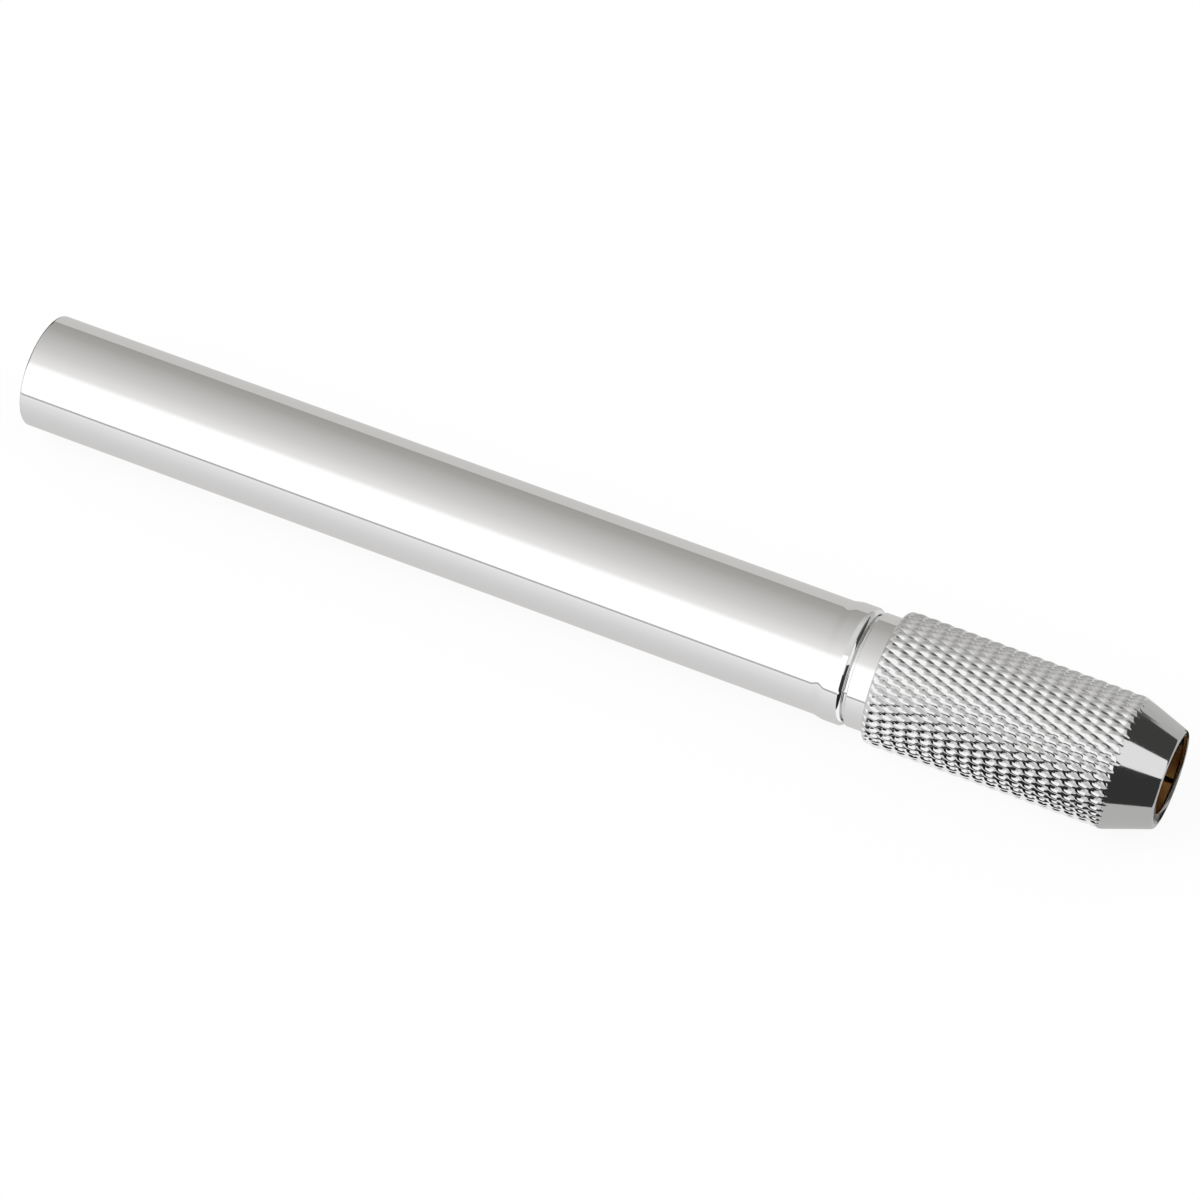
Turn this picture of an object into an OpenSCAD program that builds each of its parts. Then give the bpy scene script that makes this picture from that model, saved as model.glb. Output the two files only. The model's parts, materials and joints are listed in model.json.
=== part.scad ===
// Metal pencil extender: a long open tube, a threaded sleeve that its front end is formed over,
// a loose four-jaw collet, and a knurled screw collar whose nose squeezes the jaws.
// It lies along X with the nose at +X, and stands on z = 0 at the collar's widest point.

/* [Tube] */
// Outside diameter of the tube
tube_d = 10.4; // [9.8:0.1:11]
// Wall thickness of the tube
tube_wall = 0.4; // [0.3:0.05:0.45]
// Wall left at the front end, which is bored out to seat the spigot and to be formed over it
front_wall = 0.22; // [0.18:0.01:0.26]
// Length of the tube, from the tail to its curled front edge
tube_l = 80; // [60:0.5:120]
// Length of the bead at the front end, where the tube swells over a ring of the sleeve
bead_l = 2.9; // [2.4:0.1:3.4]
// How far the bead stands out from the tube
bead_h = 0.18; // [0.1:0.01:0.2]
// Length over which the bead rises
bead_rise_l = 1.2; // [0.8:0.1:1.4]
// Outside radius of the front edge, which is curled in over the ring's front
curl_r = 0.5; // [0.46:0.01:0.6]
// Rounding of the cut edge at the tail
tail_edge = 0.15; // [0.05:0.01:0.2]

/* [Threaded sleeve] */
// Width of the open groove between the tube and the neck
groove_w = 0.3; // [0.25:0.05:0.8]
// Length of neck that shows behind the collar
neck_show = 1.9; // [1.4:0.05:4]
// Length of neck that is hidden in the collar
neck_hidden = 1.6; // [1.2:0.1:2]
// Edge break on the neck and the thread's mouth
sleeve_edge = 0.1; // [0.05:0.01:0.12]
// Length of the spigot inside the tube
spigot_l = 5; // [4:0.5:14]
// Least wall of the spigot
spigot_wall = 0.6; // [0.5:0.01:0.63]
// Wall of the sleeve, from the thread's crests to the bore that the collet slides in
sleeve_wall = 0.45; // [0.4:0.01:0.5]
// Least height of the step in the bore that stops the collet's ring
stop_step = 0.5; // [0.45:0.01:0.55]
// Thread pitch
thread_pitch = 0.75; // [0.5:0.05:0.8]
// Distance from the sleeve's mouth back from the nose, at rest
mouth_back = 6.2; // [6:0.1:6.6]
// Wall left at the sleeve's tapered mouth
mouth_wall = 0.2; // [0.17:0.01:0.25]
// Length of the taper inside the sleeve's mouth
mouth_taper_l = 1.5; // [1.3:0.1:1.8]

/* [Collar] */
// Length of the collar
collar_l = 26.1; // [25.6:0.1:32]
// Diameter over the knurl at the rear
collar_rear_d = 12.2; // [12:0.05:12.6]
// Diameter over the knurl at the front, where the cone starts: the bore and all inside it follow
collar_front_d = 11.95; // [11.8:0.05:12.2]
// Wall of the collar at the front, from the knurl's crests to the threaded bore
collar_wall = 0.825; // [0.8:0.005:0.85]
// Length of the rounded shoulder at the rear
shoulder_l = 0.7; // [0.5:0.05:1.2]
// Wall left at the collar's rear edge
rear_wall = 0.3; // [0.1:0.01:0.4]
// Length of the smooth nose cone
cone_l = 4.35; // [4.1:0.05:5]
// Rounding of the rim's outer edge
rim_edge = 0.12; // [0.08:0.01:0.15]
// Wall of the rim, from its outside to the mouth
rim_wall = 0.385; // [0.36:0.005:0.4]
// How far the mouth stays clear of the bore between the jaws
lip_clear = 0.16; // [0.12:0.01:0.18]
// Thickness of the lip along the axis
lip_l = 0.3; // [0.25:0.01:0.35]
// Wall of the nose cone just behind the lip
cone_wall = 0.25; // [0.22:0.01:0.27]
// Length of the conical seat inside the nose
seat_l = 3.2; // [3.1:0.05:3.4]

/* [Knurl] */
// Number of grooves round the collar in each direction
knurl_count = 46; // [36:2:50]
// Length of one diamond along the axis
knurl_diamond_l = 2.38; // [2.2:0.02:3]
// Depth of the right-hand grooves
knurl_depth = 0.2; // [0.14:0.01:0.3]
// Depth of the left-hand grooves across the ridges
knurl_cross_depth = 0.1; // [0.05:0.01:0.14]

/* [Collet] */
// Thickness of the jaws' springy shanks
jaw_wall = 0.62; // [0.55:0.01:0.68]
// How far the shanks stay clear of the sleeve's bore
shank_gap = 0.15; // [0.13:0.01:0.2]
// How far the jaws' heads stay clear of the collar's bore
head_gap = 0.25; // [0.2:0.01:0.3]
// Distance of the jaws' tips back from the nose
jaw_tip_back = 0.4; // [0.4:0.01:0.5]
// Distance of the jaws' roots back from the nose
jaw_root_back = 19; // [16:0.1:20]
// Width of the slits between the jaws
slit_w = 0.5; // [0.45:0.01:0.6]
// Diameter of the round hole that ends each slit
slit_hole_d = 1.2; // [0.8:0.05:1.6]
// Length of the ring that carries the jaws
ring_l = 4; // [3:0.1:4.4]

/* [Hidden] */
$fn = 64;

// Clearances: pressed spigot, ring in its bore, thread, neck in the counterbore, jaws in the sleeve and nose
press_gap = 0.01;
ring_gap = 0.05;
thread_gap = 0.05;
neck_gap = 0.1;
taper_gap = 0.12;
seat_gap = 0.3;
root_gap = 0.1;

// Turns that tighten the collar from rest, and the spare length beyond the end of its travel
tighten_turns = 1.5;
travel_spare = 0.3;
tighten_l = tighten_turns * thread_pitch;

// Angle of the first jaw about the axis, and the angle from each jaw to the next
first_jaw_angle = 170;
jaw_step = 90;

// One overrun serves every cut, and every small arc has the same number of steps
overrun = 1;
arc_steps = 6;

// Radii of the tube, of the seat bored in its front end, and of the spigot that fills the seat
tube_r = tube_d / 2;
tube_in_r = tube_r - tube_wall;
seat_r = tube_r - front_wall;
spigot_r = seat_r - press_gap;

// Radii of what nests in the collar, from its front diameter inwards
collar_bore_r = collar_front_d / 2 - collar_wall;
thread_r = collar_bore_r - thread_gap;
sleeve_bore_r = thread_r - sleeve_wall;
mouth_r = thread_r - mouth_wall;
spigot_bore_r = min(sleeve_bore_r - stop_step, spigot_r - spigot_wall);
ring_r = sleeve_bore_r - ring_gap;
jaw_head_r = collar_bore_r - head_gap;
jaw_shank_r = sleeve_bore_r - shank_gap;
jaw_bore_r = jaw_shank_r - jaw_wall;
lip_bore_r = jaw_bore_r + lip_clear;
rim_r = lip_bore_r + rim_wall;

// Places along the axis, measured from the tail
neck_start = tube_l + groove_w;
collar_start = neck_start + neck_show;
overall_l = collar_start + collar_l;
neck_end = collar_start + neck_hidden;
axis_h = collar_rear_d / 2;

// The bead rises along a quarter of a wave, and the front edge curls in about a point below its crest
bead_start = tube_l - bead_l;
curl_angle = 75;
curl_z = tube_l - curl_r * sin(curl_angle);
curl_centre = [tube_r + bead_h - curl_r, curl_z];

// Sleeve
spigot_start = tube_l - spigot_l;
seat_start = spigot_start - press_gap;
mouth_z = overall_l - mouth_back;
taper_start = mouth_z - mouth_taper_l;
taper_slope = (mouth_r - sleeve_bore_r) / mouth_taper_l;
ring_end = overall_l - jaw_root_back - root_gap;
ring_start = ring_end - ring_l;
ring_stop = ring_start - tighten_l - travel_spare;

// Collar, measured from its own rear face: its counterbore clears both the neck and the thread
neck_bore_r = max(tube_r, thread_r) + neck_gap;
neck_bore_l = neck_hidden + tighten_l + travel_spare;
cone_start = collar_l - cone_l;
cone_slope = (collar_front_d / 2 - rim_r) / cone_l;
lip_z = collar_l - lip_l;
seat_end_r = rim_r + lip_l * cone_slope - cone_wall;
seat_slope = (collar_bore_r - seat_end_r) / seat_l;

// Jaws
jaw_tip_z = overall_l - jaw_tip_back;
jaw_root_z = overall_l - jaw_root_back;
jaw_tip_r = seat_end_r + (jaw_tip_back - lip_l) * seat_slope - seat_gap;
jaw_head_z = jaw_tip_z - (jaw_head_r - jaw_tip_r) / seat_slope;
jaw_back_r = sleeve_bore_r - taper_gap;
jaw_taper_z = taper_start + (jaw_head_r - jaw_back_r) / taper_slope;
jaw_shank_z = taper_start + (jaw_shank_r - jaw_back_r) / taper_slope;

// Knurl: rings of points a quarter of a diamond apart, each turned half a step from the last
ring_points = 2 * knurl_count;
ring_step = knurl_diamond_l / 4;
shoulder_r = neck_bore_r + rear_wall;
shoulder_shares = [0, 0.22];
run_out_l = knurl_depth / cone_slope;
knurl_first = ceil(shoulder_shares[1] * shoulder_l / ring_step);
knurl_last = ceil((cone_start + run_out_l) / ring_step) + 1;
knurl_rings = [for (i = [knurl_first : knurl_last]) i * ring_step];
nose_rings = [collar_l - rim_edge, collar_l];
ring_z = concat(shoulder_shares * shoulder_l, knurl_rings, nose_rings);
ring_count = len(ring_z);

tube_colour = "#dcdddd";
sleeve_colour = "#d2d3d3";
collar_colour = "#c6c7c8";
brass_colour = "#a9814a";

// Points of an arc from one angle to another, centred on [r, z]
function arc(centre, r, from, to) =
    [for (i = [0 : arc_steps]) let (a = from + (to - from) * i / arc_steps) centre + r * [cos(a), sin(a)]];

// Points of the bead's rise, where the surface below it has this radius
function bead_rise(r) =
    [for (i = [0 : arc_steps]) let (share = i / arc_steps)
        [r + bead_h * sin(90 * share), bead_start + bead_rise_l * share]];

// Radius over the knurl's crests at a distance from the collar's rear face
function crest_r(z) = collar_rear_d / 2 - (collar_rear_d - collar_front_d) / 2 * z / cone_start;

// Radius of the collar's turned outline: rounded shoulder, straight stretch, nose cone and rim
function outline_r(z) =
    z >= collar_l ? rim_r - rim_edge :
    z > cone_start ? rim_r + (collar_l - z) * cone_slope :
    z >= shoulder_l ? crest_r(z) :
    shoulder_r + (crest_r(z) - shoulder_r) * sqrt(1 - pow(1 - z / shoulder_l, 2));

// Depth of the knurl at point j of ring i: full depth where grooves cross and along the right-hand
// grooves, less along the left-hand ones, and none at the diamonds' peaks. A groove of the first
// column faces down, so that the part lies on a peak at each side of it.
function knurl_drop(i, j) =
    let (column = floor(i / 2), crossing = (j + column) % 2 == 1)
    crossing ? knurl_depth : i % 2 == 0 ? 0 : knurl_cross_depth;

// Radius of the knurled surface: the knurl is cut into the straight stretch, and the cone and the
// shoulder were turned afterwards, so the grooves run out on them
function knurl_r(i, j) = min(outline_r(ring_z[i]), crest_r(ring_z[i]) - knurl_drop(i, j));

// Everything is revolved about Z and then laid along X
module lay() {
    translate([-overall_l / 2, 0, axis_h]) rotate([0, 90, 0]) children();
}

// Turned half a step, so that where the circle is drawn with flats, one of them faces down
module revolve(points) {
    rotate(180 / $fn) rotate_extrude() polygon(points);
}

// Long thin-walled tube, open at the tail. Its front end is formed over the sleeve's ring: it swells to a
// bead, and its edge curls into the sleeve's groove.
module barrel_tube() {
    outside = concat(arc([tube_r - tail_edge, tail_edge], tail_edge, -90, 0),
                     bead_rise(tube_r),
                     arc(curl_centre, curl_r, 0, curl_angle));
    under_bead = bead_rise(seat_r);
    inside = concat(arc(curl_centre, curl_r - front_wall, curl_angle, 0),
                    [for (i = [arc_steps : -1 : 0]) under_bead[i]]);
    seat = [[seat_r, seat_start], [tube_in_r, seat_start], [tube_in_r, 0]];
    color(tube_colour) lay() revolve(concat(outside, inside, seat));
}

// Turned sleeve: spigot with a ring under the tube's bead, groove, neck, thread, and a tapered mouth that
// closes the jaws
module threaded_sleeve() {
    spigot = concat([[spigot_bore_r, spigot_start],
                     [spigot_r - sleeve_edge, spigot_start],
                     [spigot_r, spigot_start + sleeve_edge]],
                    bead_rise(spigot_r),
                    arc(curl_centre, curl_r - front_wall - press_gap, 0, 90));
    outside = [[curl_centre[0], neck_start],
               [tube_r - sleeve_edge, neck_start],
               [tube_r, neck_start + sleeve_edge],
               [tube_r, neck_end - sleeve_edge],
               [thread_r, neck_end],
               [thread_r, mouth_z - sleeve_edge],
               [thread_r - sleeve_edge, mouth_z]];
    inside = [[mouth_r, mouth_z],
              [sleeve_bore_r, taper_start],
              [sleeve_bore_r, ring_stop],
              [spigot_bore_r, ring_stop]];
    color(sleeve_colour) lay() revolve(concat(spigot, outside, inside));
}

// Outside of the collar with its diamond knurl, closed at both ends
module collar_solid() {
    points = [for (i = [0 : ring_count - 1], j = [0 : ring_points - 1])
        let (a = (j + (i % 2) / 2) * 360 / ring_points, r = knurl_r(i, j))
        [r * cos(a), r * sin(a), ring_z[i]]];
    even_faces = [for (i = [0 : 2 : ring_count - 2], j = [0 : ring_points - 1])
        let (k = (j + 1) % ring_points, low = i * ring_points, high = low + ring_points)
        each [[low + j, high + j, low + k], [high + j, high + k, low + k]]];
    odd_faces = [for (i = [1 : 2 : ring_count - 2], j = [0 : ring_points - 1])
        let (k = (j + 1) % ring_points, low = i * ring_points, high = low + ring_points)
        each [[high + j, high + k, low + j], [low + j, high + k, low + k]]];
    rear_face = [for (j = [0 : ring_points - 1]) j];
    front_face = [for (j = [ring_points - 1 : -1 : 0]) (ring_count - 1) * ring_points + j];
    polyhedron(points, concat([rear_face, front_face], even_faces, odd_faces));
}

// Screw collar: counterbore over the neck, threaded bore, conical seat and lip
module knurled_collar() {
    space = [[0, -overrun],
             [neck_bore_r, -overrun],
             [neck_bore_r, neck_bore_l],
             [collar_bore_r, neck_bore_l],
             [collar_bore_r, lip_z - seat_l],
             [seat_end_r, lip_z],
             [lip_bore_r, lip_z],
             [lip_bore_r, collar_l + overrun],
             [0, collar_l + overrun]];
    color(collar_colour) lay() translate([0, 0, collar_start]) difference() {
        collar_solid();
        revolve(space);
    }
}

// Ring that carries the jaws, with the ends of the four slits and their round holes
module collet_ring() {
    hole_z = ring_end - slit_hole_d;
    color(brass_colour) lay() difference() {
        revolve([[jaw_bore_r, ring_start],
                 [ring_r - sleeve_edge, ring_start],
                 [ring_r, ring_start + sleeve_edge],
                 [ring_r, ring_end],
                 [jaw_bore_r, ring_end]]);
        for (i = [0 : 3]) rotate(first_jaw_angle + jaw_step * (i + 0.5)) {
            translate([0, -slit_w / 2, hole_z]) cube([ring_r + overrun, slit_w, slit_hole_d + overrun]);
            translate([0, 0, hole_z]) rotate([0, 90, 0]) cylinder(h = ring_r + overrun, d = slit_hole_d);
        }
    }
}

// One jaw: a springy quarter shank with a double-tapered head
module jaw(number) {
    reach = 2 * jaw_head_r;
    apex = slit_w / sqrt(2);
    profile = [[jaw_bore_r, jaw_root_z],
               [jaw_shank_r, jaw_root_z],
               [jaw_shank_r, jaw_shank_z],
               [jaw_head_r, jaw_taper_z],
               [jaw_head_r, jaw_head_z],
               [jaw_tip_r, jaw_tip_z],
               [jaw_bore_r, jaw_tip_z]];
    color(brass_colour) lay() intersection() {
        revolve(profile);
        rotate(first_jaw_angle + jaw_step * (number - 1)) translate([apex, 0, jaw_root_z - overrun])
            linear_extrude(jaw_root_back + overrun) polygon([[0, 0], [reach, -reach], [reach, reach]]);
    }
}

module jaw_1() { jaw(1); }
module jaw_2() { jaw(2); }
module jaw_3() { jaw(3); }
module jaw_4() { jaw(4); }

barrel_tube();
threaded_sleeve();
collet_ring();
jaw_1();
jaw_2();
jaw_3();
jaw_4();
knurled_collar();
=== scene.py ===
# %% [markdown]
# # A metal pencil extender
#
# A pencil extender holds the stub of a pencil that has become too short to write with. This one is a long
# plated tube, a threaded sleeve that its front end is formed over, a brass collet with four springy jaws,
# and a knurled collar that screws down on the sleeve and squeezes the jaws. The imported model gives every
# piece its size and place. This script gives each one its surface, and sets up the camera and the light.

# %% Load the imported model
import json
import math

import bpy
import numpy as np
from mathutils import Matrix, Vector


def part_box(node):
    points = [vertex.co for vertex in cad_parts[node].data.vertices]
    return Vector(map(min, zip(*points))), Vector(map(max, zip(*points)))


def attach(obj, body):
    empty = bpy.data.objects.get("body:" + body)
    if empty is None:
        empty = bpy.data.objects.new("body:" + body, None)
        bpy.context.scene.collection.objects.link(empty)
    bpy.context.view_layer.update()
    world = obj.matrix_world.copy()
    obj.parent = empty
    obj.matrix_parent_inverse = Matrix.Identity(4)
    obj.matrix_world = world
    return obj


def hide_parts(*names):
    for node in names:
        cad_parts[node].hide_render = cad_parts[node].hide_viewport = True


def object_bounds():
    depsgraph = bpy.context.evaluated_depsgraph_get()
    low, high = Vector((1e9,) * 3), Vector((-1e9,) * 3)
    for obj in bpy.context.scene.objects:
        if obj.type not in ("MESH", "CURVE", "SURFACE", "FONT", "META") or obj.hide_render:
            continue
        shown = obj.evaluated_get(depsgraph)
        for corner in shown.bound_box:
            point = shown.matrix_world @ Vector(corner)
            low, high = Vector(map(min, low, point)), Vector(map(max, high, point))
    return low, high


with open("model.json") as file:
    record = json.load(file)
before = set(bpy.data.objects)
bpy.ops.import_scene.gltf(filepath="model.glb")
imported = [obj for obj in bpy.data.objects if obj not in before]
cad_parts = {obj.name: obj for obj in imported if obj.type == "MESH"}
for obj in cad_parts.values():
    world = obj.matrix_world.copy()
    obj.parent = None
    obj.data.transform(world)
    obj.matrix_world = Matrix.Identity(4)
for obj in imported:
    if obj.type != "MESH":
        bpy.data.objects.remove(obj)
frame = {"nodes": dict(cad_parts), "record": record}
cad_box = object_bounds()
print("nodes:", sorted(frame["nodes"]))

# %% [markdown]
# ## Sizes
#
# Blender works in metres, but a turned part is drawn in millimetres, measured along its axis from the tail.
# The record's mounts give the radii that other things fit, and the nodes' boxes give the places along the
# axis. What these can't tell, such as a groove's depth, is given in millimetres where it is first needed.

# %% Read the sizes
MM = 0.001
mounts = {mount["name"]: mount for mount in frame["record"]["mounts"]}
axis_z = mounts["tube_outside"]["pos_m"][2]
tail_x = cad_box[0].x
tube_r = mounts["tube_outside"]["dims"]["r_mm"]
bore_r = mounts["tail_bore"]["dims"]["r_mm"]


def stretch(node):
    """Where a node starts and ends along the axis, in millimetres from the tail."""
    low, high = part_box(node)
    return (low.x - tail_x) / MM, (high.x - tail_x) / MM


tube_end = stretch("barrel_tube")[1]
sleeve_start, sleeve_end = stretch("threaded_sleeve")
collar_start, collar_end = stretch("knurled_collar")
print("tube ends at", round(tube_end, 2), "mm, collar spans", round(collar_start, 2), round(collar_end, 2))

# %% [markdown]
# ## Camera
#
# The photograph is taken from above and to the right, from well back with a long lens, so the tube's edges
# run almost parallel. The camera aims at a point beside the middle of the part, as the photograph's framing
# does, and needs no shift.

# %% Set up the camera
camera_azimuth = math.radians(24.889)
camera_height = math.radians(52.133)
camera_distance = 0.45
focal_length = 154.26
sensor_width = 36
aim_right = 0.7246 * MM
aim_down = 2.7095 * MM

to_camera = Vector((math.sin(camera_azimuth) * math.cos(camera_height),
                    -math.cos(camera_azimuth) * math.cos(camera_height),
                    math.sin(camera_height)))
right = Vector((math.cos(camera_azimuth), math.sin(camera_azimuth), 0))
up = to_camera.cross(right)
aim = Vector((0, 0, axis_z)) + aim_right * right - aim_down * up

camera_data = bpy.data.cameras.new("camera")
camera_data.sensor_width = sensor_width
camera_data.lens = focal_length
camera = bpy.data.objects.new("camera", camera_data)
camera.location = aim + camera_distance * to_camera
camera.rotation_euler = to_camera.to_track_quat("Z", "Y").to_euler()
bpy.context.scene.collection.objects.link(camera)
bpy.context.scene.camera = camera
print("camera at", tuple(round(c, 4) for c in camera.location))

# %% [markdown]
# ## Colours and nodes
#
# Colours are written the way a paint program shows them, as sRGB hex values, and one function turns them
# into the linear values that the renderer needs. A second small function adds a node to a tree, sets its
# properties and fills or links its sockets, so that each material below reads as a short recipe.


# %% Colour and node helpers
def linear(hex_colour):
    """An sRGB hex colour as linear red, green, blue and an alpha of 1."""
    shares = [int(hex_colour[i:i + 2], 16) / 255 for i in (1, 3, 5)]
    return [s / 12.92 if s <= 0.04045 else ((s + 0.055) / 1.055) ** 2.4 for s in shares] + [1]


def add(tree, kind, sockets=None, **settings):
    """Adds a node. A socket's value is a number, a colour or another node's output."""
    node = tree.nodes.new(kind)
    for name, value in settings.items():
        setattr(node, name, value)
    for name, value in (sockets or {}).items():
        if isinstance(value, bpy.types.NodeSocket):
            tree.links.new(value, node.inputs[name])
        else:
            node.inputs[name].default_value = value
    return node


def new_material(name):
    """An empty node material, and its tree."""
    material = bpy.data.materials.new(name)
    material.use_nodes = True
    material.node_tree.nodes.clear()
    return material, material.node_tree


white = linear("#ffffff")
print("white is", white)

# %% [markdown]
# ## Daylight round the part
#
# Polished plate has almost no colour of its own: what the eye sees on it is the room. So the light is built
# like a small product studio. The world lights everything evenly. Where the camera, a reflection or a
# refraction looks straight at it, it is plain white, as the paper behind a product is.

# %% World
sky_level = 0.85
backdrop_level = 1
scene = bpy.context.scene
scene.view_settings.view_transform = "Standard"
world = bpy.data.worlds.new("studio")
world.use_nodes = True
world.node_tree.nodes.clear()
scene.world = world


def seen_directly(tree):
    """1 for rays from the camera, a reflection or a refraction, and 0 for rays that only light things."""
    path = add(tree, "ShaderNodeLightPath")
    either = add(tree, "ShaderNodeMath",
                 {0: path.outputs["Is Camera Ray"], 1: path.outputs["Is Glossy Ray"]},
                 operation="MAXIMUM")
    return add(tree, "ShaderNodeMath", {0: either.outputs[0], 1: path.outputs["Is Transmission Ray"]},
               operation="MAXIMUM").outputs[0]


sky = add(world.node_tree, "ShaderNodeBackground", {"Color": white, "Strength": sky_level})
backdrop = add(world.node_tree, "ShaderNodeBackground", {"Color": white, "Strength": backdrop_level})
both = add(world.node_tree, "ShaderNodeMixShader",
           {0: seen_directly(world.node_tree), 1: sky.outputs[0], 2: backdrop.outputs[0]})
add(world.node_tree, "ShaderNodeOutputWorld", {"Surface": both.outputs[0]})
print("sky level", sky_level)

# %% [markdown]
# ## Floor
#
# The part lies on white paper. Paper that is only lit turns grey in a render, so nine tenths of what the
# camera and the reflections see of it is plain white. The last tenth is lit, and carries the soft shadow.

# %% Lay the floor
floor_size = 4
shadow_share = 0.1
half = floor_size / 2
floor_corners = [(-half, -half, 0), (half, -half, 0), (half, half, 0), (-half, half, 0)]
floor_mesh = bpy.data.meshes.new("floor")
floor_mesh.from_pydata(floor_corners, [], [(0, 1, 2, 3)])
floor = bpy.data.objects.new("floor", floor_mesh)
scene.collection.objects.link(floor)

floor_paper, tree = new_material("white_paper")
lit = add(tree, "ShaderNodeBsdfDiffuse", {"Color": linear("#f4f4f4")})
plain = add(tree, "ShaderNodeEmission", {"Color": white, "Strength": backdrop_level})
share = add(tree, "ShaderNodeMath", {0: seen_directly(tree), 1: 1 - shadow_share}, operation="MULTIPLY")
paper = add(tree, "ShaderNodeMixShader", {0: share.outputs[0], 1: lit.outputs[0], 2: plain.outputs[0]})
add(tree, "ShaderNodeOutputMaterial", {"Surface": paper.outputs[0]})
floor_mesh.materials.append(floor_paper)
print("floor", floor_size, "m square")

# %% [markdown]
# ## Lamp
#
# One round lamp stands above the near side, towards the tail. Half a metre across and close, it keeps the
# shadow soft. Reflections don't see it, because on polished metal it would be a round patch of glare.

# %% Hang the lamp
lamp_width = 0.5
lamp_power = 1.6
lamp_place = (-0.15, -0.3, 0.55)
lamp_data = bpy.data.lights.new("soft_lamp", "AREA")
lamp_data.shape = "DISK"
lamp_data.size = lamp_width
lamp_data.energy = lamp_power
lamp = bpy.data.objects.new("soft_lamp", lamp_data)
lamp.location = lamp_place
lamp.rotation_euler = lamp.location.to_track_quat("Z", "Y").to_euler()
lamp.visible_glossy = False
scene.collection.objects.link(lamp)
print("lamp", lamp_power, "W")

# %% [markdown]
# ## Cards
#
# Photographers shape the bands on polished metal with cards: strips of white, grey or black paper beside
# the subject, out of the picture. Here each card is a strip of a tent, which is a cylinder about the part's
# axis, or a mat on the floor. Only reflections see them, so they cast no shadow and give no light.

# %% Glowing paper
card_power = 1.2


def paper_glow(name, first, last):
    """A glowing paper whose colour runs from first to last across the card."""
    material, tree = new_material(name)
    place = add(tree, "ShaderNodeTexCoord")
    across = add(tree, "ShaderNodeSeparateXYZ", {0: place.outputs["UV"]})
    fade = add(tree, "ShaderNodeValToRGB", {"Fac": across.outputs["Y"]})
    fade.color_ramp.elements[0].color = linear(first)
    fade.color_ramp.elements[1].color = linear(last)
    glow = add(tree, "ShaderNodeEmission", {"Color": fade.outputs["Color"], "Strength": card_power})
    add(tree, "ShaderNodeOutputMaterial", {"Surface": glow.outputs[0]})
    return material


print("the cards glow at", card_power)


# %% Strips and cards
def strip(name, corners, first, last=None):
    """A card from pairs of corners; the colour runs from the first pair to the last."""
    mesh = bpy.data.meshes.new(name)
    pairs = len(corners) // 2
    mesh.from_pydata(corners, [], [(2 * i, 2 * i + 1, 2 * i + 3, 2 * i + 2) for i in range(pairs - 1)])
    layer = mesh.uv_layers.new(name="across")
    for loop in mesh.loops:
        layer.data[loop.index].uv = (loop.vertex_index % 2, loop.vertex_index // 2 / (pairs - 1))
    mesh.materials.append(paper_glow(name + "_paper", first, last or first))
    piece = bpy.data.objects.new(name, mesh)
    piece.visible_camera = False
    piece.visible_diffuse = False
    piece.visible_transmission = False
    piece.visible_shadow = False
    scene.collection.objects.link(piece)


def card(name, side, edge, first, last=None):
    """A card along the axis, between two places on it, through a row of (y, z) points."""
    strip(name, [(x, y, z) for y, z in edge for x in side], first, last)


# %% Arches and mats
card_steps = 24
card_lift = 0.0002
tent_r = 0.4


def arch(start, end):
    """Points of the tent between two angles in degrees: 0 is far, 90 overhead and 180 near."""
    angles = [math.radians(start + (end - start) * i / card_steps) for i in range(card_steps + 1)]
    return [(tent_r * math.cos(a), axis_z + tent_r * math.sin(a)) for a in angles]


def mat(start, end, height=card_lift):
    """Two points on the floor, at distances in millimetres from below the axis; the near side is minus."""
    return [(start * MM, height), (end * MM, height)]


foot = math.degrees(math.asin((axis_z - card_lift) / tent_r))
reach = tent_r * math.cos(math.radians(foot)) / MM
print("the tent meets the floor", round(reach), "mm from the axis")

# %% [markdown]
# The tent is cut into sets along the axis, because each surface looks at another stretch of it. Seen from
# the camera, the tube, its bead and the neck look at the tail set, the tops of the knurl's ridges at the
# crest set, and the sides of its grooves at the groove set and its neighbours. In these three the near side
# is white and the far side grey.

# %% Cards for the tube and the knurl
tail_side = (-1.5, -0.05)
crest_side = (-0.05, -0.008)
groove_side = (-0.008, 0.045)

card("tail_low", tail_side, arch(-foot, 11), "#bfbebc")
card("tail_far_low", tail_side, arch(11, 35), "#9a9996", "#a2a19e")
card("tail_far", tail_side, arch(35, 90), "#a2a19e", "#c9c8c7")
card("tail_far_high", tail_side, arch(90, 118), "#c9c8c7", "#e2e1e0")
card("tail_top", tail_side, arch(118, 127), "#e2e1e0", "#ffffff")
card("tail_near", tail_side, arch(127, 180 + foot), "#ffffff")

card("crest_low", crest_side, arch(-foot, 11), "#a0a09e")
card("crest_far", crest_side, arch(11, 50), "#a0a09e", "#ccccca")
card("crest_high", crest_side, arch(50, 115), "#ccccca", "#d4d4d2")
card("crest_near", crest_side, arch(115, 180 + foot), "#ffffff")

card("groove_low", groove_side, arch(-foot, 11), "#a6a6a4")
card("groove_far", groove_side, arch(11, 115), "#b4b4b2", "#c8c8c6")
card("groove_near", groove_side, arch(115, 180 + foot), "#ffffff")
print("tail, crest and groove cards made")

# %% [markdown]
# The nose cone leans forward, so it looks at the outer part of the middle set and at the nose set beyond it.
# Both are pale overhead and dark on the far and the near side, which gives the cone two dark bands with a
# bright one between them. The inner part of the middle set is seen by the steepest facets of the knurl, and
# its far side is only grey.

# %% Cards for the nose
middle = (0.045, 0.17)
inner_middle = (0.045, 0.07)
outer_middle = (0.07, 0.17)
nose_side = (0.17, 1.5)

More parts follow.
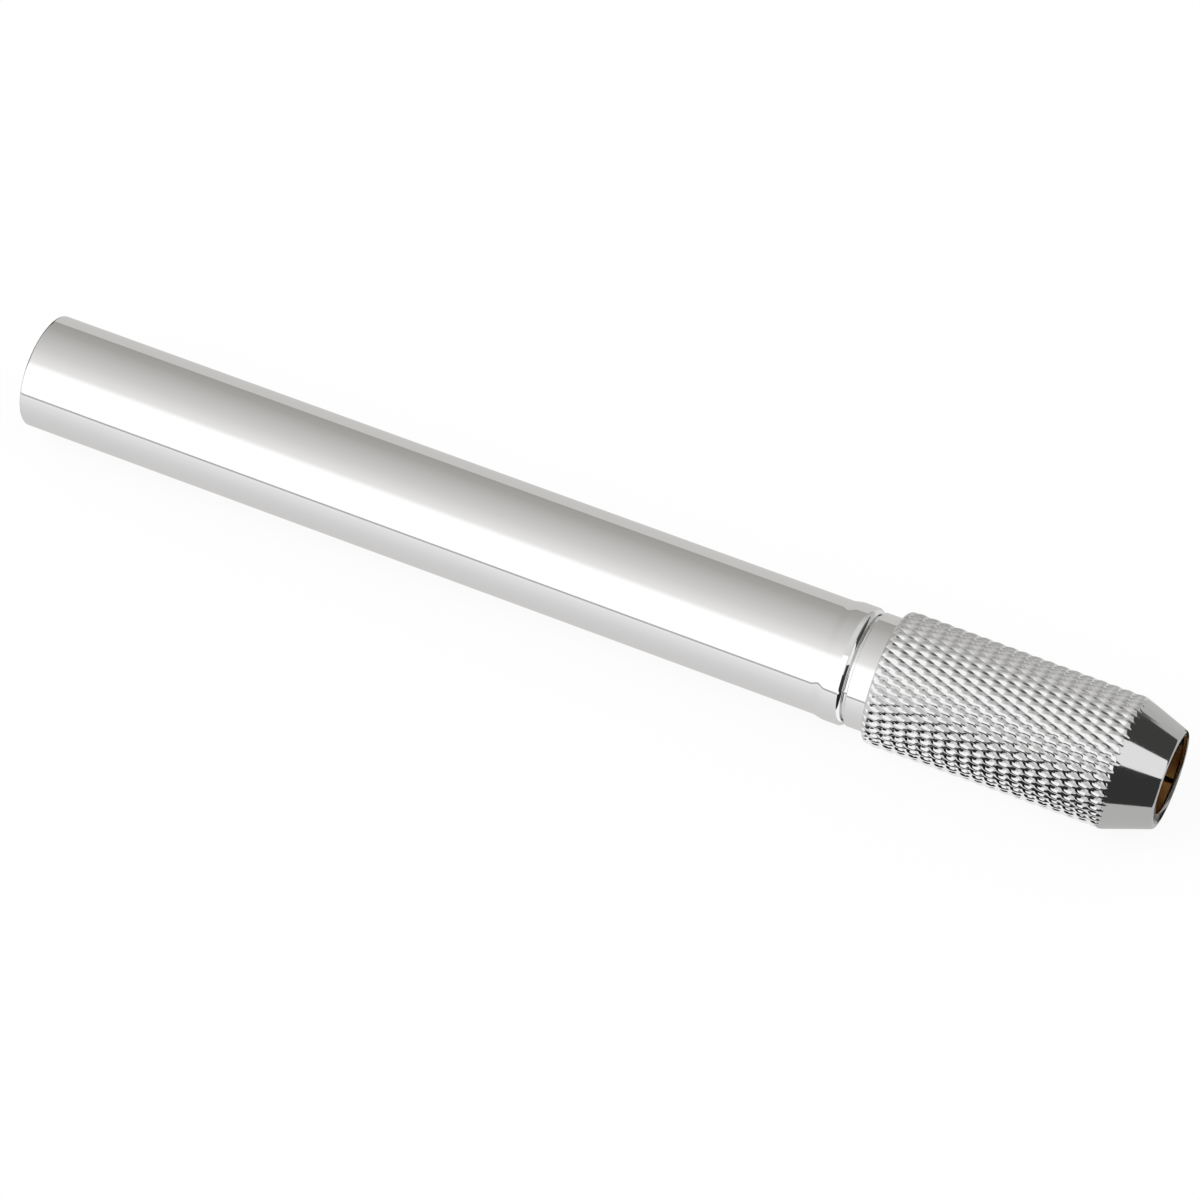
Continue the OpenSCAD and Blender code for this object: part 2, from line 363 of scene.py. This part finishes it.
card("middle_low", middle, arch(-foot, 17), "#b1b1af")
card("middle_far_grey", inner_middle, arch(17, 80), "#9c9c9c")
card("middle_far_dark", outer_middle, arch(17, 80), "#505050", "#707070")
card("middle_top", middle, arch(80, 150), "#c0c0c0", "#d0d0d0")
card("middle_near_dark", middle, arch(150, 180 + foot), "#282828")

card("nose_low", nose_side, arch(-foot, 23), "#b1b1af")
card("nose_far_dark", nose_side, arch(23, 84), "#3d3d3b")
card("nose_top", nose_side, arch(84, 131), "#e7e7e7")
card("nose_near_dark", nose_side, arch(131, 180 + foot), "#333333")
print("middle and nose cards made")

# %% [markdown]
# The lower part of each surface looks at the floor, so mats lie there in three sets: beside the tube, beside
# the knurl, and beside and beyond the nose. A narrow dark mat in front of the mouth darkens the rim that
# faces it, and a small dark board close behind the tail gives its square end a thin dark line.

# %% Mats on the floor, and the board
tube_floor = (-1.5, 0.027)
grip_floor = (0.027, 0.0495)
nose_floor = (0.0495, 1.5)
mouth_floor = (0.0547, 0.0568)
mouth_lift = 0.0004
board_x = -0.057
board_y = (-0.005, 0.0084)
board_z = (0.001, 0.0138)

card("tube_floor_white", tube_floor, mat(-reach, -64), "#ffffff")
card("tube_floor_line", tube_floor, mat(-64, -43), "#aaaaaa")
card("tube_floor_near", tube_floor, mat(-43, -18), "#e6e5e5", "#d7d6d6")
card("tube_floor_nearer", tube_floor, mat(-18, -8), "#d7d6d6", "#c9c8c8")
card("tube_floor_under", tube_floor, mat(-8, 0), "#c9c8c8", "#bdbcba")
card("tube_floor_far", tube_floor, mat(0, reach), "#bfbebc")

card("grip_floor_white", grip_floor, mat(-reach, -50), "#ffffff")
card("grip_floor_dark", grip_floor, mat(-50, -11), "#202020")
card("grip_floor_under", grip_floor, mat(-11, 0), "#f0f0f0")
card("grip_floor_far", grip_floor, mat(0, reach), "#d0d0d0", "#b5b5b5")

card("nose_floor_dark", nose_floor, mat(-reach, -19.5), "#333333")
card("nose_floor_far", nose_floor, mat(-19.5, reach), "#b4b4b2")
card("mouth_floor_dark", mouth_floor, mat(0, 20, mouth_lift), "#20180f")
strip("tail_board_dark", [(board_x, y, z) for z in board_z for y in board_y], "#303030")
print("mats and board made")

# %% [markdown]
# ## Turned pieces
#
# The tube, the sleeve and the collar are all turned: an outline spun about the axis. Blender's Spin or Screw
# would do that, but the thread and the knurl need a radius that changes round the ring as well, so each
# piece is built ring by ring. A ring is a row of points round the axis, and a piece is a closed loop of
# rings: along the outside towards the nose, and back along the inside.


# %% Rings
def ring(x, radius, count, twist=0.0):
    """A ring x mm from the tail. The radius in mm is one number, or one for each point."""
    angles = twist + np.arange(count) * 2 * math.pi / count
    radius = np.broadcast_to(radius, count) * MM
    return np.column_stack([np.full(count, tail_x + x * MM), radius * np.cos(angles),
                            axis_z + radius * np.sin(angles)])


print("the tail's ring spans", np.ptp(ring(0, tube_r, 4)[:, 1]).round(4), "m")


# %% Skins between rings
def skin(a, b, first, second, split=False):
    """Faces between two rings of a and b points that start at the vertices first and second.

    One ring may have a whole number of times as many points as the other. With split, each face is two
    triangles, whose shared edge runs from a point of the first ring to the point before it on the second.
    """
    if a == b:
        faces = [(first + j, first + (j + 1) % a, second + (j + 1) % a, second + j) for j in range(a)]
        if split:
            faces = [corners for p, q, r, s in faces for corners in ((p, q, s), (q, r, s))]
        return faces
    faces = []
    if a > b:
        times = a // b
        for j in range(b):
            here, after = second + j, second + (j + 1) % b
            fine = [first + (j * times + s) % a for s in range(times + 1)]
            faces += [(fine[s], fine[s + 1], here) for s in range(times)] + [(fine[-1], after, here)]
        return faces
    times = b // a
    for j in range(a):
        here, after = first + j, first + (j + 1) % a
        fine = [second + (j * times + s) % b for s in range(times + 1)]
        faces += [(here, fine[s + 1], fine[s]) for s in range(times)] + [(here, after, fine[-1])]
    return faces


print("rings of 8 and 4 points are joined by", len(skin(8, 4, 0, 8)), "faces")


# %% Closed pieces
def closed_piece(name, rings, sharp_over=40, split=0):
    """A closed mesh object from a loop of rings, shaded smooth except over edges sharper than that angle.

    The faces between the first rings, as many as split says, are made of triangles.
    """
    starts = np.cumsum([0] + [len(r) for r in rings])
    faces = []
    for i, this in enumerate(rings):
        after = (i + 1) % len(rings)
        faces += skin(len(this), len(rings[after]), int(starts[i]), int(starts[after]), i < split)
    mesh = bpy.data.meshes.new(name)
    mesh.from_pydata(np.concatenate(rings).tolist(), [], faces)
    mesh.shade_smooth()
    mesh.set_sharp_from_angle(angle=math.radians(sharp_over))
    piece = bpy.data.objects.new(name, mesh)
    scene.collection.objects.link(piece)
    even = piece.modifiers.new("even_shading", "WEIGHTED_NORMAL")
    even.keep_sharp = True
    even.weight = 100
    print(name, len(faces), "faces")
    return piece


# %% [markdown]
# An outline drawn with a few corners looks like a drawing, not like metal. Each corner that the lathe or the
# polishing has broken gets a short curve instead, whose length is given with the corner.


# %% Broken corners
def soft(corners, steps=4):
    """An open outline as (x, radius) points, from (x, radius, break) corners; a break becomes a curve."""
    points = []
    for i, (x, r, broken) in enumerate(corners):
        here = np.array([x, r], float)
        if not broken or i in (0, len(corners) - 1):
            points.append(here)
            continue
        before = np.array(corners[i - 1][:2], float) - here
        after = np.array(corners[i + 1][:2], float) - here
        start = here + before / np.linalg.norm(before) * broken
        end = here + after / np.linalg.norm(after) * broken
        for s in np.linspace(0, 1, steps + 1):
            points.append((1 - s) ** 2 * start + 2 * s * (1 - s) * here + s ** 2 * end)
    return points


print("a broken corner has", len(soft([(0, 0, 0), (1, 0, 0.1), (1, 1, 0)])) - 2, "points")

# %% [markdown]
# ## Tube
#
# The tube is thin-walled, about ten millimetres across, cut square at the tail. Its front end is bored out
# to a thin skin that is formed over a ring of the sleeve: it swells to a low bead, and its edge curls into
# the groove in front of the ring.

# %% Bead and curled edge
front_wall = 0.22
bead_l = 2.9
bead_h = 0.18
bead_rise_l = 1.2
curl_r = 0.5
curl_angle = 75
bead_start = tube_end - bead_l
curl_x = tube_end - curl_r * math.sin(math.radians(curl_angle))


def bead_rise(radius, steps=12):
    """The bead's rise over a surface of this radius: half a wave, so that it starts and ends smoothly."""
    points = []
    for i in range(steps + 1):
        rise = bead_h * (0.5 - 0.5 * math.cos(math.pi * i / steps))
        points.append((bead_start + bead_rise_l * i / steps, radius + rise))
    return points


def curl(radius, last=curl_angle, steps=12):
    """The curled edge, as an arc of this radius from the bead's crest inwards."""
    turns = [math.radians(last) * i / steps for i in range(steps + 1)]
    return [(curl_x + radius * math.sin(a), tube_r + bead_h - curl_r + radius * math.cos(a)) for a in turns]


print("the bead is", round(2 * (tube_r + bead_h), 2), "mm across")

# %% Build the tube
round_count = 192
seat_gap = 0.01
tail_break = 0.12
bore_bevel = 0.05
steady_l = 0.2

# Two rings close to the tail keep the shading of the long tube straight up to its end.
steady = [(steady_l, tube_r, 0), (5 * steady_l, tube_r, 0)]
tail = soft([(bore_bevel, bore_r, 0), (0, bore_r + bore_bevel, 0), (0, tube_r, tail_break), *steady])
inside_front = curl(curl_r - front_wall)[::-1] + bead_rise(tube_r - front_wall)[::-1]
seat = [(sleeve_start - seat_gap, tube_r - front_wall), (sleeve_start - seat_gap, bore_r)]
tube_outline = [*tail, *bead_rise(tube_r), *curl(curl_r), *inside_front, *seat]
tube = closed_piece("polished_tube", [ring(x, r, round_count) for x, r in tube_outline])

# %% [markdown]
# ## Sleeve
#
# The sleeve is turned from brass and plated. A spigot sits in the tube, a groove takes the tube's curled
# edge, the neck shows in front of it, and the collar runs on the thread. The thread is shallow and rounded,
# as in thin metal, so it is drawn as a wave that climbs one pitch in each turn.

# %% Thread
pitch = 0.75
thread_steps = 10
thread_crest = 5.1
thread_wave = 0.07
thread_gap = 0.06
thread_middle = thread_crest - thread_wave


def threaded(start, end, middle, count):
    """Rings along a threaded stretch, whose wave grows from nothing over the first and last turn."""
    angles = np.arange(count) * 2 * math.pi / count
    rings = []
    for x in np.linspace(start, end, round((end - start) / pitch * thread_steps) + 1):
        grown = min(1, (x - start) / pitch, (end - x) / pitch)
        rings.append(ring(x, middle + thread_wave * grown * np.cos(2 * math.pi * x / pitch - angles), count))
    return rings


print("thread of", 2 * thread_crest, "mm by", pitch, "mm")

# %% Sizes of the sleeve
groove_l = 0.3
groove_r = tube_r + bead_h - curl_r
under_edge_l = 0.3
neck_start = tube_end + groove_l
neck_hidden_l = 1.6
neck_end = collar_start + neck_hidden_l
neck_break = 0.1
press_gap = 0.01
spigot_l = 1
spigot_r = tube_r - front_wall - press_gap
spigot_bore_r = 4.15
sleeve_bore_r = 4.65
mouth_r = 4.9
mouth_taper_l = 1.5
ring_room = 1.425
ring_stop = stretch("collet_ring")[0] - ring_room
bevel = 0.1
fine_break = 0.05
end_break = 0.08
mouth_break = 0.04
taper_break = 0.2
thread_start = neck_end + 0.12
thread_end = sleeve_end - 0.15
print("the neck shows for", round(collar_start - neck_start, 2), "mm")

# %% Build the sleeve
spigot = soft([(sleeve_start, spigot_bore_r + bevel, 0), (sleeve_start, spigot_r, neck_break),
               (sleeve_start + spigot_l, spigot_r, 0)])
neck = soft([(curl_x + under_edge_l, groove_r, 0), (neck_start, groove_r, fine_break),
             (neck_start, tube_r, neck_break), (neck_end, tube_r, neck_break),
             (neck_end + bevel, thread_middle, 0)])
ring_crest = curl(curl_r - front_wall - press_gap, last=90)
outside = [*spigot, *bead_rise(spigot_r), *ring_crest, *neck]
inside = soft([(sleeve_end, thread_middle, end_break), (sleeve_end, mouth_r, mouth_break),
               (sleeve_end - mouth_taper_l, sleeve_bore_r, taper_break), (ring_stop, sleeve_bore_r, 0),
               (ring_stop, spigot_bore_r, fine_break), (sleeve_start + bevel, spigot_bore_r, 0)])
rings = [ring(x, r, round_count) for x, r in outside]
rings += threaded(thread_start, thread_end, thread_middle, round_count // 2)
rings += [ring(x, r, round_count // 2) for x, r in inside]
sleeve = closed_piece("plated_sleeve", rings)

# %% [markdown]
# ## Knurled collar
#
# A knurl is pressed in by two wheels whose grooves cross. Here the right-handed grooves are deep and sharp
# between round ridges, and the left-handed ones shallow waves, so the ridges look like twisted cord, and a
# small pit is left at each crossing. The rings are twisted along the right-handed grooves, a sixteenth of a
# diamond apart, so that the left-handed grooves run along the mesh's diagonals and both sets stay crisp. The
# nose cone and the rear shoulder are turned after the knurl, so the grooves run out on them as a saw-tooth.

# %% Outline of the collar
rear_r = 6.1
front_r = 5.975
shoulder_l = 0.7
shoulder_r = 5.6
cone_l = 4.35
rim_r = 4.425
collar_l = collar_end - collar_start
cone_start = collar_l - cone_l


def crest(x):
    """Radius over the ridges, x mm from the collar's rear face."""
    return rear_r + (front_r - rear_r) * x / cone_start


def turned(x):
    """Radius of the turned shoulder, the straight stretch and the cone."""
    if x > cone_start:
        return rim_r + (collar_l - x) * (front_r - rim_r) / cone_l
    if x >= shoulder_l:
        return crest(x)
    return shoulder_r + (crest(x) - shoulder_r) * math.sqrt(1 - (1 - x / shoulder_l) ** 2)


print("the cone starts", round(cone_start, 2), "mm from the rear face")

# %% Knurl
knurl_count = 46
diamond_l = 2.38
groove_points = 8
knurl_points = knurl_count * groove_points
right_depth = 0.17
left_depth = 0.09


def deep_cut(phase):
    """Depth of the right-handed grooves, which meet the round ridges in a cusp at whole phases."""
    return right_depth * (1 - np.abs(np.sin(math.pi * phase)))


def shallow_cut(phase):
    """Depth of the rounded left-handed grooves, whose middles are at whole phases."""
    return left_depth * (0.5 + 0.5 * np.cos(2 * math.pi * phase))


def knurled_ring(x):
    """One ring of the knurl, x mm from the collar's rear face."""
    right_phase = np.arange(knurl_points) / groove_points
    left_phase = right_phase + 2 * x / diamond_l
    depth = deep_cut(right_phase) + shallow_cut(left_phase)
    radius = np.minimum(turned(x), crest(x) - depth)
    return ring(collar_start + x, radius, knurl_points, twist=2 * math.pi * x / diamond_l / knurl_count)


print("a diamond is", diamond_l, "by", round(2 * math.pi * rear_r / knurl_count, 2), "mm")

# %% Knurled outside
knurl_step = diamond_l / 16
fine_step = knurl_step / 2
spare_l = 0.2
run_out = cone_start + (right_depth + left_depth) / ((front_r - rim_r) / cone_l)
rear = [0, 0.02, 0.06, 0.12, 0.2]
straight = np.arange(2, (cone_start - spare_l) / knurl_step) * knurl_step
saw_tooth = np.arange(straight[-1] + fine_step, run_out + fine_step, fine_step)
rings = [knurled_ring(x) for x in [*rear, *straight, *saw_tooth]]
split = len(rings)
print("the knurl has", split, "rings and runs out", round(run_out - cone_start, 2), "mm up the cone")

# %% [markdown]
# Inside, a lip keeps the jaws from falling out, a cone behind it squeezes them, and after a relief the nut's
# thread runs back to a plain bore for the neck. No knurl is left there, so the rings have fewer points.

# %% Nose and inside of the collar
rim_break = 0.2
lip_l = 0.3
lip_r = 4.04
lip_bevel = 0.06
lip_break = 0.04
cone_wall = 0.25
seat_l = 3.2
seat_r = rim_r + lip_l * (front_r - rim_r) / cone_l - cone_wall
relief_r = 5.15
relief_break = 0.3
neck_gap = 0.1
neck_bore_r = tube_r + neck_gap
neck_bore_l = 3.025
nut_end = 16.5
nut_middle = thread_middle + thread_gap
rear_bevel = 0.08
bore_points = knurl_points // 4

plain_x = run_out + spare_l
twist_end = 2 * math.pi * saw_tooth[-1] / diamond_l / knurl_count
nose = soft([(plain_x, turned(plain_x), 0), (collar_l, rim_r, rim_break), (collar_l, lip_r + lip_bevel, 0)])
bore = soft([(collar_l - lip_bevel / 2, lip_r, 0), (collar_l - lip_l, lip_r, lip_break),
             (collar_l - lip_l, seat_r, lip_break), (collar_l - lip_l - seat_l, relief_r, relief_break),
             (nut_end + bevel, relief_r, 0)])
neck_bore = [(neck_bore_l, nut_middle + fine_break), (neck_bore_l, neck_bore_r),
             (rear_bevel, neck_bore_r), (0, neck_bore_r + rear_bevel)]
rings += [ring(collar_start + x, r, knurl_points, twist=twist_end) for x, r in nose]
rings += [ring(collar_start + x, r, bore_points, twist=twist_end) for x, r in bore[:1]]
rings += [ring(collar_start + x, r, bore_points) for x, r in bore[1:]]
nut = threaded(collar_start + neck_bore_l + bevel, collar_start + nut_end, nut_middle, bore_points)
rings += nut[::-1]
rings += [ring(collar_start + x, r, bore_points) for x, r in neck_bore]
collar = closed_piece("knurled_grip", rings, sharp_over=30, split=split)

# %% [markdown]
# ## Bright plate
#
# The outside is bright chromium plate over brass. A metal has no diffuse colour: its base colour is the
# colour of its reflections, and its roughness says how sharp they are. New plate is nearly a mirror, but the
# drawn tube under it is never quite straight, so the edges of the reflections wander a little. Nobody
# polishes a long bore, so the tube and the sleeve stay dull inside: whatever is nearer the axis than the
# polished skin gets a higher roughness and a greyer tint. The collar's short bore is plated and bright.

# %% Dull bore
bore_tint = "#a8a8a4"
bore_rough = 0.45
bore_edge = 0.1


def in_bore(tree, place, skin_r):
    """1 where the surface is nearer the axis than skin_r mm, and 0 outside."""
    across = add(tree, "ShaderNodeVectorMath", {0: place, 1: (0, 1, 1)}, operation="MULTIPLY")
    from_axis = add(tree, "ShaderNodeVectorMath", {0: across.outputs[0], 1: (0, 0, axis_z)},
                    operation="DISTANCE")
    return add(tree, "ShaderNodeMath", {0: from_axis.outputs["Value"], 1: skin_r * MM},
               operation="LESS_THAN").outputs[0]


print("roughness in the bore", bore_rough)

# %% Chromium plate
cloud_size = 3


def chromium_plate(name, tint, smooth, rough, wave_length, wave_height, skin_r):
    """Polished plate over a dull bore.

    The roughness drifts between smooth and rough. The low waves of the surface have a length and a height in
    millimetres, and so has skin_r, the radius below which the plate is dull.
    """
    material, tree = new_material(name)
    place = add(tree, "ShaderNodeTexCoord").outputs["Object"]
    inside = in_bore(tree, place, skin_r)
    cloud = add(tree, "ShaderNodeTexNoise", {"Vector": place, "Scale": 1 / (cloud_size * MM), "Detail": 3})
    # The noise is mostly between 0.3 and 0.7.
    roughness = add(tree, "ShaderNodeMapRange",
                    {"Value": cloud.outputs[0], "From Min": 0.3, "From Max": 0.7, "To Min": smooth,
                     "To Max": rough})
    wave = add(tree, "ShaderNodeTexNoise", {"Vector": place, "Scale": 1 / (wave_length * MM), "Detail": 1})
    relief = add(tree, "ShaderNodeBump",
                 {"Height": wave.outputs[0], "Distance": wave_height * MM, "Strength": 1})
    colour = add(tree, "ShaderNodeMix", {"Factor": inside, 6: linear(tint), 7: linear(bore_tint)},
                 data_type="RGBA")
    dullness = add(tree, "ShaderNodeMix", {"Factor": inside, 2: roughness.outputs[0], 3: bore_rough})
    metal = add(tree, "ShaderNodeBsdfPrincipled",
                {"Base Color": colour.outputs[2], "Metallic": 1, "Roughness": dullness.outputs[0],
                 "Normal": relief.outputs[0]})
    add(tree, "ShaderNodeOutputMaterial", {"Surface": metal.outputs[0]})
    return material


print("the plate's roughness drifts over", cloud_size, "mm")

# %% Plate of each piece
tube_plate = chromium_plate("chromium_plate_on_drawn_tube", "#eeeeee", smooth=0.03, rough=0.06,
                            wave_length=7, wave_height=0.008, skin_r=bore_r + bore_edge)
sleeve_plate = chromium_plate("chromium_plate_on_turned_neck", "#eeeeee", smooth=0.03, rough=0.06,
                              wave_length=4, wave_height=0.004, skin_r=sleeve_bore_r + bore_edge)
collar_plate = chromium_plate("chromium_plate_on_knurl", "#e0e0e0", smooth=0.05, rough=0.1,
                              wave_length=2, wave_height=0.002, skin_r=0)
print("plate materials made")

# %% [markdown]
# ## Brass
#
# The collet isn't plated: it is brass as it comes off the lathe, gone a little brown in patches of a
# millimetre or two. Its roughness is that of a turned surface, which blurs reflections to a soft sheen.

# %% Brass
brass_rough = 0.5
patch_size = 1.5


def turned_brass(name, bright, dull):
    """Lathe-turned brass that has dulled in patches."""
    material, tree = new_material(name)
    place = add(tree, "ShaderNodeTexCoord").outputs["Object"]
    patch = add(tree, "ShaderNodeTexNoise", {"Vector": place, "Scale": 1 / (patch_size * MM), "Detail": 4})
    colour = add(tree, "ShaderNodeValToRGB", {"Fac": patch.outputs[0]})
    colour.color_ramp.elements[0].position = 0.35
    colour.color_ramp.elements[0].color = linear(dull)
    colour.color_ramp.elements[1].position = 0.65
    colour.color_ramp.elements[1].color = linear(bright)
    metal = add(tree, "ShaderNodeBsdfPrincipled",
                {"Base Color": colour.outputs[0], "Metallic": 1, "Roughness": brass_rough})
    add(tree, "ShaderNodeOutputMaterial", {"Surface": metal.outputs[0]})
    return material


collet_brass = turned_brass("turned_brass", "#e8bc78", "#c08a50")
print("brass made")

# %% [markdown]
# ## Put the pieces on their bodies
#
# Each new piece takes the place of its node and rides on the node's body.
# The collet's ring and jaws keep their imported shape, and get the brass.

# %% Ride, replace and slot
for piece, node, body, slot, material in (
        (tube, "barrel_tube", "barrel", "tube_plate", tube_plate),
        (sleeve, "threaded_sleeve", "barrel", "sleeve_plate", sleeve_plate),
        (collar, "knurled_collar", "collar", "collar_plate", collar_plate)):
    piece.data.materials.append(material)
    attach(piece, body)
    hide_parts(node)
    print(piece.name, "stands for", node)

for name in ("collet_ring", "jaw_1", "jaw_2", "jaw_3", "jaw_4"):
    node = frame["nodes"][name]
    node.data.materials.clear()
    node.data.materials.append(collet_brass)
    print(name, "is brass")
